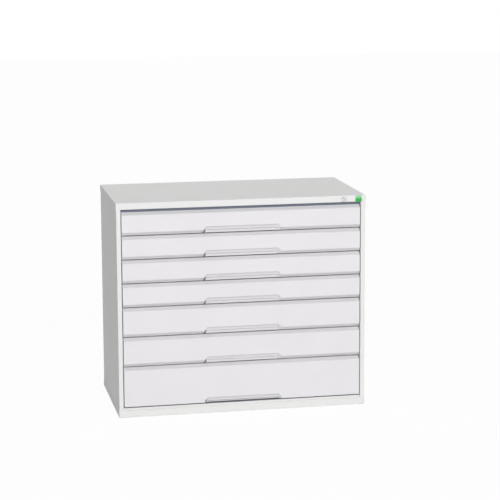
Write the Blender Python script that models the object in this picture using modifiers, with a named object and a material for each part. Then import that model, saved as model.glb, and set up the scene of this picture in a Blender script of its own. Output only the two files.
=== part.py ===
"""Steel drawer cabinet with seven drawers on telescopic runners.

Lengths are in metres. X runs across the cabinet, Y from the front to the
back and Z up, with the origin in the middle of the base.
"""

import math

import bmesh
import bpy
from mathutils import Matrix, Vector

# Cabinet
WIDTH = 1.050
DEPTH = 0.550
DRAWER_PITCHES = (0.175, 0.125, 0.125, 0.100, 0.100, 0.100, 0.100)
CARCASS_SHEET = 0.0012
TOUCH = 0.0003
OVERRUN = 0.010

# Top cover and base tray
TOP_RAIL = 0.027
RAIL_RETURN = 0.018
RAIL_LIP = 0.013
COVER_RADIUS = 0.002
BASE_SKIRT = 0.030
BASE_RADIUS = 0.003

# Side panels, back panel and carcass floor
STILE_WIDTH = 0.0198
STILE_RETURN = 0.0255
STILE_RADIUS = 0.0015
REAR_FLANGE = 0.018
BACK_RETURN = 0.012
FLOOR_TOP = 0.0392
FLOOR_SETBACK = 0.0045

# Slotted uprights
UPRIGHT_DEPTH = 0.030
UPRIGHT_PROJECTION = 0.0135
UPRIGHT_SETBACK = 0.030
SLOT_PITCH = 0.025
SLOT_WIDTH = 0.003
SLOT_HEIGHT = 0.012

# Drawer fronts
DRAWER_SHEET = 0.0010
STACK_FOOT = 0.0382
STACK_HEAD = 0.0098
FRONT_GAP = 0.0035
TOP_FRONT_CUT = 0.0015
SIDE_GAP = 0.0037
FACE_SETBACK = 0.0015
FRONT_THICKNESS = 0.024
UPPER_BEVEL = 0.0132
UPPER_BEVEL_DEPTH = 0.0165
LOWER_BEVEL = 0.0137
LOWER_BEVEL_DEPTH = 0.0135
LOWEST_FRONT_LIFT = 0.005
LOWEST_BEVEL_DEPTH = 0.0015
FRONT_RETURN = 0.012
FOLD_RADIUS = 0.0012

# Grip recess in the lower edge of each front
GRIP_TOP_WIDTH = 0.300
GRIP_BOTTOM_WIDTH = 0.330
GRIP_RISE = 0.0149
GRIP_FIRST_DEPTH = 0.006
GRIP_FIRST_RAMP = 0.0077
GRIP_FLAT = 0.0061
GRIP_STEP = 0.0012
GRIP_SECOND_DEPTH = 0.014
GRIP_SECOND_RAMP = 0.0058
GRIP_CHEEK = 0.0038

# Drawer trays
TRAY_LIFT = 0.0055
RIM_DROP = 0.002
RIM_FLANGE = 0.010
TRAY_REAR_CLEARANCE = 0.030

# Telescopic runners
RUNNER_RISE = 0.030
RUNNER_HEIGHT = 0.040
RUNNER_SHEET = 0.0015
BALL = 0.0044
BALL_ROW_WIDTH = 0.004
MIDDLE_WEB_GAP = 0.0032
MIDDLE_SHEET = 0.0014
TRAY_SIDE_GAP = 0.0017
DRAWER_MEMBER_REACH = 0.0057
RUNNER_END_STEP = 0.001
HOOK_HEIGHT = 0.008
HOOK_REACH = 0.004

# Lock in the top rail
LOCK_INSET = 0.0935
LOCK_DROP = 0.016
LOCK_FACE_RADIUS = 0.01075
LOCK_PROUD = 0.002
LOCK_FACE_CHAMFER = 0.0007
LOCK_BODY_RADIUS = 0.008
LOCK_BODY_LENGTH = 0.0215
LOCK_NUT_RADIUS = 0.0095
LOCK_NUT_THICKNESS = 0.004
PLUG_RADIUS = 0.0053
PLUG_PROUD = 0.0012
KEYHOLE_WIDTH = 0.0016
KEYHOLE_HEIGHT = 0.0072
KEYHOLE_DEPTH = 0.006
DRIVE_SIZE = 0.0060
CAM_SHEET = 0.0015
CAM_RADIUS = 0.0075
CAM_TIP_RADIUS = 0.0036
CAM_THROW = 0.010
CAM_START = math.radians(45)
PIN_RADIUS = 0.0018

# Lock bar with its catches and the plate that drives it
PLATE_SHEET = 0.0015
PLATE_MARGIN = 0.0045
BAR_WIDTH = 0.009
BAR_EDGE_GAP = 0.0025
BAR_PIN_INSET = 0.0168
PIN_CLEARANCE = 0.0008
BAR_FOOT = 0.060
CATCH_HEIGHT = 0.008
CATCH_CLEARANCE = 0.0008
CATCH_REACH = 0.0095
STRIKER_DROP = 0.012
STRIKER_HEIGHT = 0.008
STRIKER_LENGTH = 0.006
STRIKER_REACH = 0.009

# Plain plate at the end of the top rail
END_PLATE_WIDTH = 0.025
END_PLATE_HEIGHT = 0.025
END_PLATE_THICKNESS = 0.0012
END_PLATE_CORNER = 0.003
END_PLATE_INSET = 0.0307

# Places worked out from the sizes above
HEIGHT = STACK_FOOT + sum(DRAWER_PITCHES) + STACK_HEAD + TOP_RAIL
HALF_WIDTH = WIDTH / 2
FRONT_Y = LOCK_PROUD / 2 - DEPTH / 2
REAR_Y = FRONT_Y + DEPTH
TRAY_FOLD = CARCASS_SHEET + TOUCH
SIDE_X = HALF_WIDTH - TRAY_FOLD
SIDE_INNER_X = SIDE_X - CARCASS_SHEET
STILE_X = HALF_WIDTH - STILE_WIDTH
RAIL_Z = HEIGHT - TOP_RAIL
UPRIGHT_X = SIDE_INNER_X - TOUCH - UPRIGHT_PROJECTION
FRONT_UPRIGHT_Y = FRONT_Y + UPRIGHT_SETBACK
REAR_UPRIGHT_Y = REAR_Y - UPRIGHT_SETBACK - UPRIGHT_DEPTH
BACK_Y = REAR_Y - TRAY_FOLD - CARCASS_SHEET - TOUCH
FACE_Y = FRONT_Y + FACE_SETBACK
FRONT_REAR_Y = FACE_Y + FRONT_THICKNESS
FRONT_X = STILE_X - SIDE_GAP
TRAY_FRONT_Y = FRONT_REAR_Y + TOUCH
TRAY_REAR_Y = BACK_Y - CARCASS_SHEET - TRAY_REAR_CLEARANCE
RAIL_OUTER_X = UPRIGHT_X - TOUCH
RAIL_INNER_X = RAIL_OUTER_X - RUNNER_SHEET
MIDDLE_X = RAIL_INNER_X - MIDDLE_WEB_GAP
TRAY_X = MIDDLE_X - MIDDLE_SHEET - TOUCH - DRAWER_MEMBER_REACH - RUNNER_SHEET
RUNNER_EDGE_X = TRAY_X + TRAY_SIDE_GAP
RUNNER_FRONT_Y = FRONT_UPRIGHT_Y
RUNNER_REAR_Y = REAR_UPRIGHT_Y + UPRIGHT_DEPTH
LOCK_X = HALF_WIDTH - LOCK_INSET
LOCK_Z = HEIGHT - LOCK_DROP
LOCK_TRAVEL = 2 * CAM_THROW * math.sin(CAM_START)
BAR_REAR_Y = FRONT_UPRIGHT_Y - TOUCH
PLATE_REAR_Y = BAR_REAR_Y - PLATE_SHEET - TOUCH
CAM_REAR_Y = PLATE_REAR_Y - PLATE_SHEET - TOUCH
BAR_OUTER_X = SIDE_INNER_X - BAR_EDGE_GAP
BAR_INNER_X = BAR_OUTER_X - BAR_WIDTH
BAR_PIN_X = BAR_INNER_X - BAR_PIN_INSET

GREY_PAINT = (0.80, 0.80, 0.79)
LILAC_PAINT = (0.80, 0.78, 0.81)
ZINC = (0.62, 0.63, 0.64)
BRIGHT = (0.85, 0.85, 0.86)
GREEN = (0.07, 0.48, 0.11)


def clear_scene():
    """Remove what a new file holds."""
    for item in list(bpy.data.objects):
        bpy.data.objects.remove(item, do_unlink=True)


def make_collection(name):
    """Add a collection to the scene."""
    collection = bpy.data.collections.new(name)
    bpy.context.scene.collection.children.link(collection)
    return collection


def make_material(name, colour, roughness, metallic):
    """Principled material of one sub-part."""
    material = bpy.data.materials.new(name)
    material.use_nodes = True
    shader = material.node_tree.nodes["Principled BSDF"]
    shader.inputs["Base Color"].default_value = (*colour, 1)
    shader.inputs["Roughness"].default_value = roughness
    shader.inputs["Metallic"].default_value = metallic
    material.diffuse_color = (*colour, 1)
    return material


def paint(name, colour=GREY_PAINT):
    """Powder coat."""
    return make_material(name + "_paint", colour, 0.55, 0)


def plated(name, colour=ZINC, roughness=0.35):
    """Plated or bright metal."""
    return make_material(name + "_metal", colour, roughness, 1)


def add_object(name, bm, collection):
    """Turn a bmesh into an object."""
    mesh = bpy.data.meshes.new(name)
    bm.to_mesh(mesh)
    bm.free()
    item = bpy.data.objects.new(name, mesh)
    collection.objects.link(item)
    return item


def box_mesh(low, high):
    """Box between two corners."""
    size = Vector(high) - Vector(low)
    middle = (Vector(high) + Vector(low)) / 2
    bm = bmesh.new()
    place = Matrix.Translation(middle) @ Matrix.Diagonal((*size, 1))
    bmesh.ops.create_cube(bm, size=1, matrix=place)
    return bm


def add_cutter(name, bm):
    """Keep a mesh as a tool for a Boolean."""
    cutter = add_object(name, bm, CUTTERS)
    cutter.hide_render = True
    cutter.display_type = "WIRE"
    return cutter


def boolean(item, tool, operation):
    """Cut an object with a tool, or join the tool to it."""
    modifier = item.modifiers.new(operation.lower() + "_" + tool.name, "BOOLEAN")
    modifier.operation = operation
    modifier.object = tool


def thicken(item, thickness):
    """Give an open surface its sheet thickness, on its inner side."""
    modifier = item.modifiers.new("sheet", "SOLIDIFY")
    modifier.thickness = thickness
    modifier.offset = -1
    modifier.use_even_offset = True


def face_outwards(bm, direction):
    """Turn an open surface so that its farthest face points along a direction."""
    bmesh.ops.recalc_face_normals(bm, faces=bm.faces)
    way = Vector(direction)
    farthest = max(bm.faces, key=lambda face: face.calc_center_median().dot(way))
    if farthest.normal.dot(way) < 0:
        bmesh.ops.reverse_faces(bm, faces=bm.faces)


def round_edges(bm, edges, radius, segments=2):
    """Round folds of a surface."""
    bmesh.ops.bevel(bm, geom=edges, offset=radius, segments=segments, profile=0.5, affect="EDGES")


def grow(bm, edges, move):
    """Extrude edges and move each new vertex by a rule."""
    result = bmesh.ops.extrude_edge_only(bm, edges=edges)
    for vertex in result["geom"]:
        if isinstance(vertex, bmesh.types.BMVert):
            vertex.co = Vector(move(vertex.co))
    return [edge for edge in result["geom"] if isinstance(edge, bmesh.types.BMEdge)]


def open_pan(low, high, floor_z, rim_z):
    """Floor between two corners and a wall up or down from each side."""
    bm = bmesh.new()
    size = Vector((high[0] - low[0], high[1] - low[1], 1))
    middle = Vector(((high[0] + low[0]) / 2, (high[1] + low[1]) / 2, floor_z))
    place = Matrix.Translation(middle) @ Matrix.Diagonal((*size, 1))
    bmesh.ops.create_grid(bm, x_segments=1, y_segments=1, size=0.5, matrix=place)
    rim = [edge for edge in bm.edges if edge.is_boundary]
    grow(bm, rim, lambda co: (co.x, co.y, rim_z))
    outwards = -1 if rim_z > floor_z else 1
    face_outwards(bm, (0, 0, outwards))
    return bm


def round_pan(bm, radius, rim_z):
    """Round every fold of a pan, and leave its rim."""
    folds = [edge for edge in bm.edges if not edge.is_boundary]
    round_edges(bm, folds, radius)
    for vertex in bm.verts:
        if abs(vertex.co.z - rim_z) < TOUCH:
            vertex.co.z = rim_z


def folded_strip(path, low, high, axis, outwards):
    """Sheet folded along a path and as long as low to high along an axis.

    The path is the sheet's outer face, in the two other directions.
    """
    others = [i for i in range(3) if i != axis]
    bm = bmesh.new()
    row = []
    for point in path:
        place = [low, low, low]
        place[others[0]], place[others[1]] = point
        row.append(bm.verts.new(place))
    edges = [bm.edges.new(pair) for pair in zip(row, row[1:])]
    shift = Vector((0, 0, 0))
    shift[axis] = high - low
    grow(bm, edges, lambda co: co + shift)
    face_outwards(bm, outwards)
    return bm


def arc(centre, radius, start, end, steps):
    """Points of an arc, both ends included, angles in degrees."""
    points = []
    for i in range(steps + 1):
        angle = math.radians(start + (end - start) * i / steps)
        x = centre[0] + radius * math.cos(angle)
        points.append((x, centre[1] + radius * math.sin(angle)))
    return points


def outline_mesh(outlines, low, high):
    """Closed outlines in X and Z as one plate from low to high in Y."""
    curve = bpy.data.curves.new("outline", "CURVE")
    curve.dimensions = "2D"
    curve.fill_mode = "BOTH"
    curve.extrude = (high - low) / 2
    for outline in outlines:
        spline = curve.splines.new("POLY")
        spline.points.add(len(outline) - 1)
        for point, place in zip(spline.points, outline):
            point.co = (*place, 0, 1)
        spline.use_cyclic_u = True
    item = bpy.data.objects.new("outline", curve)
    CUTTERS.objects.link(item)
    item.rotation_euler = (math.radians(90), 0, 0)
    item.location = (0, (low + high) / 2, 0)
    bpy.context.view_layer.update()
    graph = bpy.context.evaluated_depsgraph_get()
    mesh = bpy.data.meshes.new_from_object(item.evaluated_get(graph))
    bm = bmesh.new()
    bm.from_mesh(mesh)
    bm.transform(item.matrix_world)
    bmesh.ops.remove_doubles(bm, verts=bm.verts, dist=TOUCH / 10)
    bmesh.ops.recalc_face_normals(bm, faces=bm.faces)
    bpy.data.objects.remove(item, do_unlink=True)
    bpy.data.meshes.remove(mesh)
    bpy.data.curves.remove(curve)
    return bm


def turned(name, profile, x, z, steps=24):
    """Turned piece on an axis that runs from the top rail's face to the back.

    A profile point is a radius and a distance in front of that face.
    """
    bm = bmesh.new()
    row = [bm.verts.new((radius, 0, ahead)) for radius, ahead in profile]
    for pair in zip(row, row[1:]):
        bm.edges.new(pair)
    if profile[0][0] > 0:
        bm.edges.new((row[-1], row[0]))
    item = add_object(name, bm, PARTS)
    screw = item.modifiers.new("turn", "SCREW")
    screw.steps = steps
    screw.render_steps = steps
    screw.use_merge_vertices = True
    screw.merge_threshold = TOUCH / 10
    item.rotation_euler = (math.radians(90), 0, 0)
    item.location = (x, FRONT_Y, z)
    return item


def rod_mesh(x, z, radius, low, high, sides=16):
    """Round rod along Y."""
    bm = bmesh.new()
    middle = Matrix.Translation((x, (low + high) / 2, z))
    lay = Matrix.Rotation(math.radians(90), 4, "X")
    bmesh.ops.create_cone(
        bm,
        cap_ends=True,
        segments=sides,
        radius1=radius,
        radius2=radius,
        depth=high - low,
        matrix=middle @ lay,
    )
    return bm


def smooth(item):
    """Shade a round piece smooth and keep its sharp edges."""
    item.data.shade_smooth()
    item.data.set_sharp_from_angle(angle=math.radians(35))


def set_origin(item, point):
    """Move an object's origin and leave its shape where it is."""
    item.data.transform(Matrix.Translation(-Vector(point)))
    item.location = point


def carry(item, carrier):
    """Parent a piece to an empty that stands on its joint's axis."""
    item.parent = carrier
    item.location = item.location - carrier.location


def add_axis(name, point):
    """Empty on the axis of a joint."""
    empty = bpy.data.objects.new(name, None)
    empty.location = point
    empty.empty_display_size = SLOT_PITCH
    PARTS.objects.link(empty)
    return empty


def mirrored(outline, side):
    """Outline on the left or right side."""
    return [(side * x, z) for x, z in outline]


def drawer_foot(number):
    """Foot of a drawer's place in the stack, counted from the bottom."""
    return STACK_FOOT + sum(DRAWER_PITCHES[:number])


def front_height(number):
    """Lower and upper edge of a drawer front."""
    low = drawer_foot(number)
    high = low + DRAWER_PITCHES[number] - FRONT_GAP
    if number == 0:
        low += LOWEST_FRONT_LIFT
    if number == len(DRAWER_PITCHES) - 1:
        high -= TOP_FRONT_CUT
    return low, high


def lower_fold(number):
    """Height of the fold between a front's face and its lower bevel."""
    return drawer_foot(number) + LOWER_BEVEL


def tray_height(number):
    """Underside and rim of a drawer tray."""
    return drawer_foot(number) + TRAY_LIFT, front_height(number)[1] - RIM_DROP


def runner_height(number):
    """Middle of a drawer's runners."""
    return tray_height(number)[0] + RUNNER_RISE


def make_top_cover():
    """Cover turned down on all sides; its front skirt is the top rail."""
    low = (-HALF_WIDTH, FRONT_Y)
    bm = open_pan(low, (HALF_WIDTH, REAR_Y), HEIGHT, RAIL_Z)
    round_pan(bm, COVER_RADIUS, RAIL_Z)
    end = STILE_X - TOUCH
    for x in (-end, -end + COVER_RADIUS, end - COVER_RADIUS, end):
        everything = bm.verts[:] + bm.edges[:] + bm.faces[:]
        bmesh.ops.bisect_plane(bm, geom=everything, plane_co=(x, 0, 0), plane_no=(1, 0, 0))
    lip = []
    for edge in bm.edges:
        a, b = edge.verts
        at_front = max(a.co.y, b.co.y) < FRONT_Y + TOUCH
        between = abs(a.co.x + b.co.x) / 2 < end - TOUCH
        if edge.is_boundary and at_front and between:
            lip.append(edge)
    made = grow(bm, lip, lambda co: (co.x, co.y + RAIL_RETURN, co.z))
    rear_y = FRONT_Y + RAIL_RETURN
    rear = [edge for edge in made if min(v.co.y for v in edge.verts) > rear_y - TOUCH]
    grow(bm, rear, lambda co: (co.x, co.y, co.z - RAIL_LIP))
    face_outwards(bm, (0, 0, 1))
    cover = add_object("top_cover", bm, PARTS)
    thicken(cover, CARCASS_SHEET)
    hole_radius = LOCK_BODY_RADIUS + TOUCH
    hole = rod_mesh(LOCK_X, LOCK_Z, hole_radius, FRONT_Y - OVERRUN, FRONT_Y + OVERRUN, 24)
    boolean(cover, add_cutter("lock_hole", hole), "DIFFERENCE")
    cover.data.materials.append(paint("top_cover"))


def make_base_tray():
    """Tray that the carcass stands in."""
    low = (-HALF_WIDTH, FRONT_Y)
    bm = open_pan(low, (HALF_WIDTH, REAR_Y), 0, BASE_SKIRT)
    round_pan(bm, BASE_RADIUS, BASE_SKIRT)
    tray = add_object("base_tray", bm, PARTS)
    thicken(tray, CARCASS_SHEET)
    tray.data.materials.append(paint("base_tray"))


def make_side_panel(side, name):
    """Side with its front stile and its rear flange folded from one sheet."""
    rear = REAR_Y - TRAY_FOLD
    path = [
        (side * (SIDE_X - REAR_FLANGE), rear),
        (side * SIDE_X, rear),
        (side * SIDE_X, FRONT_Y),
        (side * STILE_X, FRONT_Y),
        (side * STILE_X, FRONT_Y + STILE_RETURN),
    ]
    low = BASE_RADIUS + TOUCH
    high = HEIGHT - COVER_RADIUS - TOUCH
    bm = folded_strip(path, low, high, 2, (side, 0, 0))
    folds = [edge for edge in bm.edges if not edge.is_boundary]
    round_edges(bm, folds, STILE_RADIUS)
    panel = add_object(name, bm, PARTS)
    thicken(panel, CARCASS_SHEET)
    notch_y = FRONT_Y + BASE_RADIUS
    for end, bottom, top in (
        ("foot", low - OVERRUN, BASE_SKIRT + TOUCH),
        ("head", RAIL_Z - TOUCH, high + OVERRUN),
    ):
        reach = (HALF_WIDTH + OVERRUN) * side
        inner = (STILE_X - OVERRUN) * side
        corner_low = (min(reach, inner), FRONT_Y - OVERRUN, bottom)
        corner_high = (max(reach, inner), notch_y, top)
        notch = box_mesh(corner_low, corner_high)
        boolean(panel, add_cutter(name + "_" + end + "_notch", notch), "DIFFERENCE")
    panel.data.materials.append(paint(name))


def make_back_panel():
    """Back with its side edges folded forwards."""
    half = SIDE_INNER_X - TOUCH
    y = BACK_Y
    path = [
        (-half, y - BACK_RETURN),
        (-half, y),
        (half, y),
        (half, y - BACK_RETURN),
    ]
    low = BASE_RADIUS + TOUCH
    high = HEIGHT - COVER_RADIUS - TOUCH
    bm = folded_strip(path, low, high, 2, (0, 1, 0))
    panel = add_object("back_panel", bm, PARTS)
    thicken(panel, CARCASS_SHEET)
    panel.data.materials.append(paint("back_panel"))


def make_carcass_floor():
    """Floor under the lowest drawer; its front lip shows above the base tray."""
    half = STILE_X - TOUCH
    low = (-half, FRONT_Y + FLOOR_SETBACK)
    high = (half, BACK_Y - CARCASS_SHEET - TOUCH)
    bm = open_pan(low, high, FLOOR_TOP, CARCASS_SHEET + TOUCH)
    floor = add_object("carcass_floor", bm, PARTS)
    thicken(floor, CARCASS_SHEET)
    floor.data.materials.append(paint("carcass_floor"))


def slot_heights():
    """Heights of the slots in an upright, in step with the runners."""
    count = int((sum(DRAWER_PITCHES) + TOUCH) / SLOT_PITCH)
    first = runner_height(0) - SLOT_PITCH
    return [first + SLOT_PITCH * i for i in range(count)]


def make_upright(side, low_y, name):
    """Channel with a column of slots that the runners hook into."""
    high_y = low_y + UPRIGHT_DEPTH
    outer = side * (SIDE_INNER_X - TOUCH)
    web = side * UPRIGHT_X
    path = [(outer, low_y), (web, low_y), (web, high_y), (outer, high_y)]
    bottom = CARCASS_SHEET + TOUCH
    top = HEIGHT - CARCASS_SHEET - TOUCH
    bm = folded_strip(path, bottom, top, 2, (-side, 0, 0))
    upright = add_object(name, bm, PARTS)
    thicken(upright, RUNNER_SHEET)
    slots = bmesh.new()
    middle_y = (low_y + high_y) / 2
    for z in slot_heights():
        size = (OVERRUN, SLOT_WIDTH, SLOT_HEIGHT)
        place = Matrix.Translation((web, middle_y, z)) @ Matrix.Diagonal((*size, 1))
        bmesh.ops.create_cube(slots, size=1, matrix=place)
    boolean(upright, add_cutter(name + "_slots", slots), "DIFFERENCE")
    upright.data.materials.append(plated(name))


def front_block(number):
    """Outside of a drawer front as a block: face, two bevels and flat edges."""
    low, high = front_height(number)
    fold = lower_fold(number)
    lower_depth = LOWEST_BEVEL_DEPTH if number == 0 else LOWER_BEVEL_DEPTH
    width = 2 * FRONT_X
    height = high - UPPER_BEVEL - fold
    middle = Vector((0, FACE_Y, fold + height / 2))
    stand = Matrix.Rotation(math.radians(90), 4, "X")
    place = Matrix.Translation(middle) @ stand @ Matrix.Diagonal((width, height, 1, 1))
    bm = bmesh.new()
    bmesh.ops.create_grid(bm, x_segments=1, y_segments=1, size=0.5, matrix=place)
    folds = bm.edges[:]

    def edge_place(co):
        if co.z > middle.z:
            return (co.x, FACE_Y + UPPER_BEVEL_DEPTH, high)
        return (co.x, FACE_Y + lower_depth, low)

    rim = grow(bm, folds, edge_place)
    outer = [edge for edge in rim if edge.is_boundary]
    rim = grow(bm, outer, lambda co: (co.x, FRONT_REAR_Y, co.z))
    back = [edge for edge in rim if edge.is_boundary]
    bmesh.ops.contextual_create(bm, geom=back)
    round_edges(bm, folds, FOLD_RADIUS)
    bmesh.ops.recalc_face_normals(bm, faces=bm.faces)
    return bm


def grip_cutter(number):
    """Recess for the fingers, lofted through four outlines from front to back."""
    low = front_height(number)[0]
    fold = lower_fold(number)
    crest = fold + GRIP_RISE
    lean = (GRIP_BOTTOM_WIDTH - GRIP_TOP_WIDTH) / 2 / GRIP_RISE
    ahead = OVERRUN / GRIP_FIRST_DEPTH
    first_top = crest - GRIP_FIRST_RAMP
    second_top = first_top - GRIP_FLAT
    deeper = GRIP_CHEEK + GRIP_STEP
    sections = (
        (FACE_Y - OVERRUN, crest + GRIP_FIRST_RAMP * ahead, -GRIP_CHEEK * ahead),
        (FACE_Y + GRIP_FIRST_DEPTH, first_top, GRIP_CHEEK),
        (FACE_Y + GRIP_FIRST_DEPTH, second_top, deeper),
        (FACE_Y + GRIP_SECOND_DEPTH, second_top - GRIP_SECOND_RAMP, deeper + GRIP_CHEEK),
    )
    bm = bmesh.new()
    outlines = []
    for y, top, inset in sections:
        at_top = min(GRIP_BOTTOM_WIDTH / 2, GRIP_TOP_WIDTH / 2 + (crest - top) * lean) - inset
        at_fold = GRIP_BOTTOM_WIDTH / 2 - inset
        side_z = min(fold, top - GRIP_STEP)
        half = [(at_top, top), (at_fold, side_z), (at_fold, low - OVERRUN)]
        whole = half + [(-x, z) for x, z in reversed(half)]
        outlines.append([Vector((x, y, z)) for x, z in whole])
    ring = [bm.verts.new(place) for place in outlines[0]]
    edges = [bm.edges.new(pair) for pair in zip(ring, ring[1:] + ring[:1])]
    bmesh.ops.contextual_create(bm, geom=edges)
    for near, far in zip(outlines, outlines[1:]):

        def next_place(co):
            nearest = min(range(len(near)), key=lambda i: (near[i] - co).length)
            return far[nearest]

        edges = [edge for edge in grow(bm, edges, next_place) if edge.is_boundary]
    bmesh.ops.contextual_create(bm, geom=edges)
    bmesh.ops.recalc_face_normals(bm, faces=bm.faces)
    return bm


def evaluated_copy(item):
    """Bmesh of an object with its modifiers applied."""
    bpy.context.view_layer.update()
    graph = bpy.context.evaluated_depsgraph_get()
    mesh = bpy.data.meshes.new_from_object(item.evaluated_get(graph))
    bm = bmesh.new()
    bm.from_mesh(mesh)
    bm.transform(item.matrix_world)
    bpy.data.meshes.remove(mesh)
    return bm


def make_front(number, name):
    """Drawer front: one sheet with bevels, flanges and the pressed grip."""
    block = add_object(name + "_block", front_block(number), CUTTERS)
    block.hide_render = True
    block.display_type = "WIRE"
    boolean(block, add_cutter(name + "_grip", grip_cutter(number)), "DIFFERENCE")
    bm = evaluated_copy(block)
    bpy.data.objects.remove(block, do_unlink=True)
    back = [face for face in bm.faces if face.calc_center_median().y > FRONT_REAR_Y - TOUCH]
    bmesh.ops.delete(bm, geom=back, context="FACES")
    low, high = front_height(number)
    middle_z = (low + high) / 2

    def return_place(co):
        x = co.x - math.copysign(FRONT_RETURN, co.x)
        z = co.z - math.copysign(FRONT_RETURN, co.z - middle_z)
        return (x, co.y, z)

    rim = [edge for edge in bm.edges if edge.is_boundary]
    grow(bm, rim, return_place)
    face_outwards(bm, (0, -1, 0))
    front = add_object(name, bm, PARTS)
    thicken(front, DRAWER_SHEET)
    front.data.materials.append(paint(name, LILAC_PAINT))
    return front


def ball_row(x, z):
    """Outline points of a rounded ridge: the balls and their cage."""
    half = BALL_ROW_WIDTH / 2
    crown = (x, z + BALL - TOUCH - half)
    return arc(crown, half, 180, 0, 4)


def channel_outline(z, web, lip, reach, sheet):
    """Channel with a ball row above and below, from its web to its lips.

    The flange drops a little past the balls, towards its lip.
    """
    inner = reach - sheet
    inner_web = web + math.copysign(sheet, lip - web)
    row_x = (web + lip) / 2
    half = BALL_ROW_WIDTH / 2
    row = ball_row(row_x, z + reach)
    web_side = [(web, z + reach), (row_x - math.copysign(half, lip - web), z + reach)]
    lip_z = z + reach - TOUCH
    lip_side = [(row_x + math.copysign(half, lip - web), lip_z), (lip, lip_z)]
    if lip < web:
        row = row[::-1]
    upper = web_side + row + lip_side
    lower = [(x, 2 * z - pz) for x, pz in reversed(upper)]
    mouth = [(lip, z + inner), (inner_web, z + inner), (inner_web, z - inner), (lip, z - inner)]
    return upper + mouth + lower


def middle_outline(z):
    """Middle member on the right, open towards the drawer."""
    reach = RUNNER_HEIGHT / 2 - RUNNER_SHEET - BALL
    return channel_outline(z, MIDDLE_X, RUNNER_EDGE_X, reach, MIDDLE_SHEET)


def drawer_member_outline(z):
    """Drawer member on the right, set into the tray's side and open outwards."""
    reach = RUNNER_HEIGHT / 2 - RUNNER_SHEET - BALL - MIDDLE_SHEET - BALL
    web = TRAY_X - DRAWER_SHEET / 2
    lip = TRAY_X + RUNNER_SHEET + DRAWER_MEMBER_REACH
    return channel_outline(z, web, lip, reach, RUNNER_SHEET + DRAWER_SHEET / 2)


def make_tray(number, name):
    """Tray with a folded rim, the drawer members of its runners and its striker."""
    low, rim = tray_height(number)
    bm = open_pan((-TRAY_X, TRAY_FRONT_Y), (TRAY_X, TRAY_REAR_Y), low, rim)
    middle_y = (TRAY_FRONT_Y + TRAY_REAR_Y) / 2

    def flange_place(co):
        x = co.x - math.copysign(RIM_FLANGE, co.x)
        return (x, co.y - math.copysign(RIM_FLANGE, co.y - middle_y), co.z)

    grow(bm, [edge for edge in bm.edges if edge.is_boundary], flange_place)
    face_outwards(bm, (0, 0, -1))
    tray = add_object(name, bm, PARTS)
    thicken(tray, DRAWER_SHEET)
    z = runner_height(number)
    member_front = RUNNER_FRONT_Y + RUNNER_END_STEP
    member_rear = RUNNER_REAR_Y - 2 * RUNNER_END_STEP
    for side, word in ((1, "right"), (-1, "left")):
        outline = mirrored(drawer_member_outline(z), side)
        member = outline_mesh([outline], member_front, member_rear)
        boolean(tray, add_cutter(name + "_member_" + word, member), "UNION")
    striker_high = rim - STRIKER_DROP
    striker_front = BAR_REAR_Y + TOUCH
    corner_low = (TRAY_X - DRAWER_SHEET / 2, striker_front, striker_high - STRIKER_HEIGHT)
    corner_high = (TRAY_X + STRIKER_REACH, striker_front + STRIKER_LENGTH, striker_high)
    striker = box_mesh(corner_low, corner_high)
    boolean(tray, add_cutter(name + "_striker", striker), "UNION")
    tray.data.materials.append(paint(name))
    return tray


def make_cabinet_member(number, side, name):
    """Fixed member of a runner, with the two hooks that hang it in the slots."""
    z = runner_height(number)
    half = RUNNER_HEIGHT / 2
    path = [
        (side * RUNNER_EDGE_X, z - half),
        (side * RAIL_OUTER_X, z - half),
        (side * RAIL_OUTER_X, z + half),
        (side * RUNNER_EDGE_X, z + half),
    ]
    bm = folded_strip(path, RUNNER_FRONT_Y, RUNNER_REAR_Y, 1, (side, 0, 0))
    member = add_object(name, bm, PARTS)
    thicken(member, RUNNER_SHEET)
    hooks = bmesh.new()
    reach = UPRIGHT_X + RUNNER_SHEET + HOOK_REACH - RAIL_INNER_X - TOUCH
    width = SLOT_WIDTH - 2 * TOUCH
    for low_y in (FRONT_UPRIGHT_Y, REAR_UPRIGHT_Y):
        middle = (side * (RAIL_INNER_X + TOUCH + reach / 2), low_y + UPRIGHT_DEPTH / 2, z)
        place = Matrix.Translation(middle) @ Matrix.Diagonal((reach, width, HOOK_HEIGHT, 1))
        bmesh.ops.create_cube(hooks, size=1, matrix=place)
    boolean(member, add_cutter(name + "_hooks", hooks), "UNION")
    member.data.materials.append(plated(name))
    return member


def make_middle_member(number, side, name):
    """Sliding member between the cabinet's and the drawer's."""
    z = runner_height(number)
    outline = mirrored(middle_outline(z), side)
    bm = outline_mesh([outline], RUNNER_FRONT_Y, RUNNER_REAR_Y - RUNNER_END_STEP)
    member = add_object(name, bm, PARTS)
    member.data.materials.append(plated(name))
    set_origin(member, (side * MIDDLE_X, RUNNER_FRONT_Y, z))
    return member


def make_drawers():
    """Seven drawers, numbered from the top, each on two runners."""
    count = len(DRAWER_PITCHES)
    for number in range(count):
        word = str(count - number)
        axis = (0, FACE_Y, runner_height(number))
        slide = add_axis("drawer_" + word + "_slide", axis)
        front = make_front(number, "drawer_front_" + word)
        tray = make_tray(number, "drawer_tray_" + word)
        for item in (front, tray):
            set_origin(item, axis)
            carry(item, slide)
        for side, hand in ((-1, "left"), (1, "right")):
            end = hand + "_" + word
            make_cabinet_member(number, side, "runner_fixed_" + end)
            make_middle_member(number, side, "runner_middle_" + end)


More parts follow.
